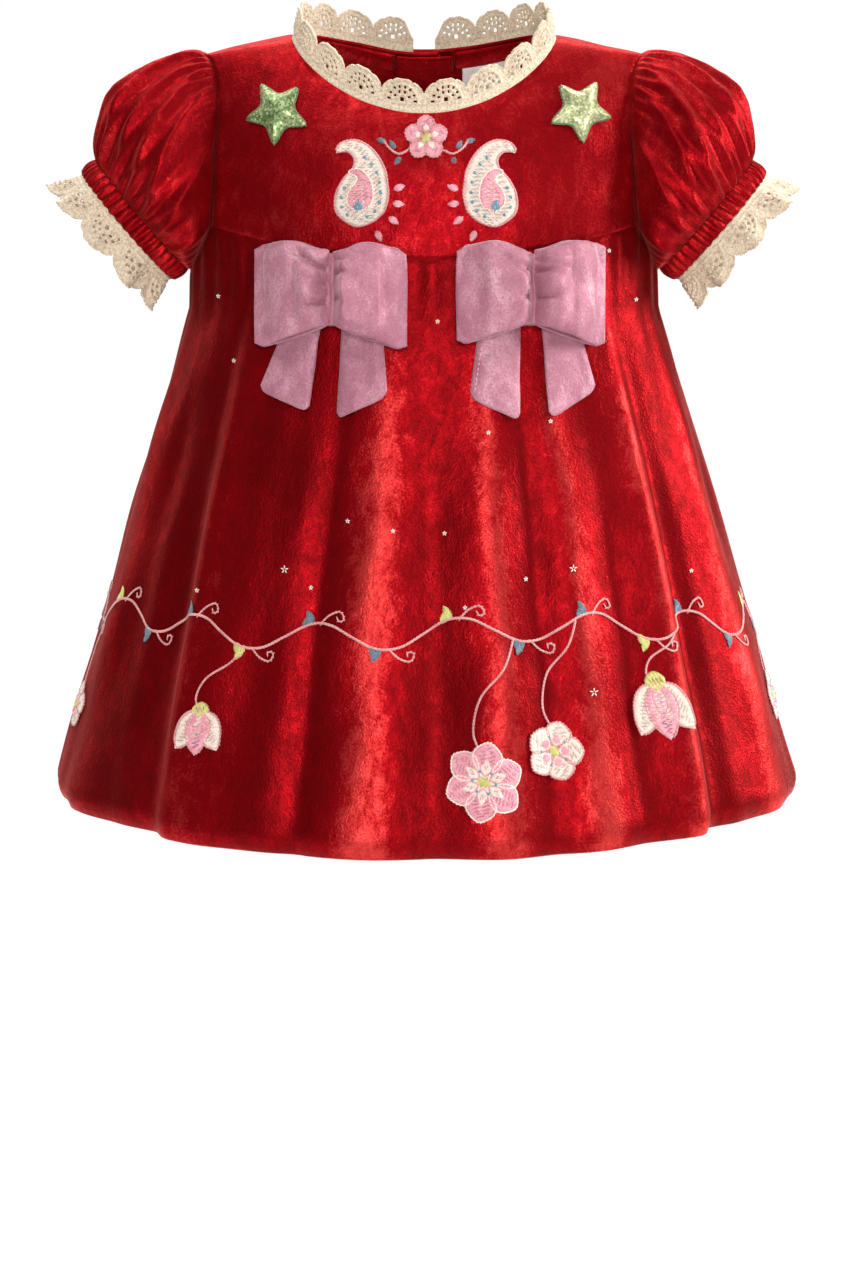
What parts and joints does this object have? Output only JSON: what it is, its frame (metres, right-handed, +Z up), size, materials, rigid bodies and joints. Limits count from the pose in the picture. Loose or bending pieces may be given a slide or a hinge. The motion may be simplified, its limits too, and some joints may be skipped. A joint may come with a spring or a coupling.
{
  "type": "toddler party dress",
  "caption": "Toddler's short-sleeved velvet party dress, filled out as worn, with puffed sleeves, lace at neck and cuffs, ribbon bows at the yoke seam and a flared skirt.",
  "frame": {"origin": "midway between the neck ends of the two shoulder seams, where the wearer's shoulders carry the dress", "axes": "+Z up, -Y out of the dress's front, +X towards the wearer's left side"},
  "size_m": [0.4049, 0.2645, 0.433],
  "materials": {
    "velvet": "crushed velvet pile",
    "lace": "corded cotton lace",
    "label_tape": "plain woven tape",
    "button_cover": "velvet-covered button",
    "bow_velvet": "short-pile velvet ribbon",
    "star_glitter": "glittering padded cloth",
    "embroidery": "silky embroidery thread"
  },
  "bodies": {
    "root": {"front_yoke": "velvet", "back_yoke_left": "velvet", "back_yoke_right": "velvet", "skirt_front": "velvet", "skirt_back": "velvet", "sleeve_left": "velvet", "sleeve_right": "velvet", "cuff_left": "velvet", "cuff_right": "velvet", "cuff_lace_left": "lace", "cuff_lace_right": "lace", "neck_lace": "lace", "back_placket": "velvet", "neck_binding_left": "velvet", "neck_binding_right": "velvet", "neck_label": "label_tape", "button_1": "button_cover", "button_2": "button_cover", "button_3": "button_cover", "bow_left_loop_left": "bow_velvet", "bow_left_loop_right": "bow_velvet", "bow_left_knot": "bow_velvet", "bow_left_tail_left": "bow_velvet", "bow_left_tail_right": "bow_velvet", "bow_right_loop_left": "bow_velvet", "bow_right_loop_right": "bow_velvet", "bow_right_knot": "bow_velvet", "bow_right_tail_left": "bow_velvet", "bow_right_tail_right": "bow_velvet", "star_left": "star_glitter", "star_right": "star_glitter"}
  },
  "joints": []
}
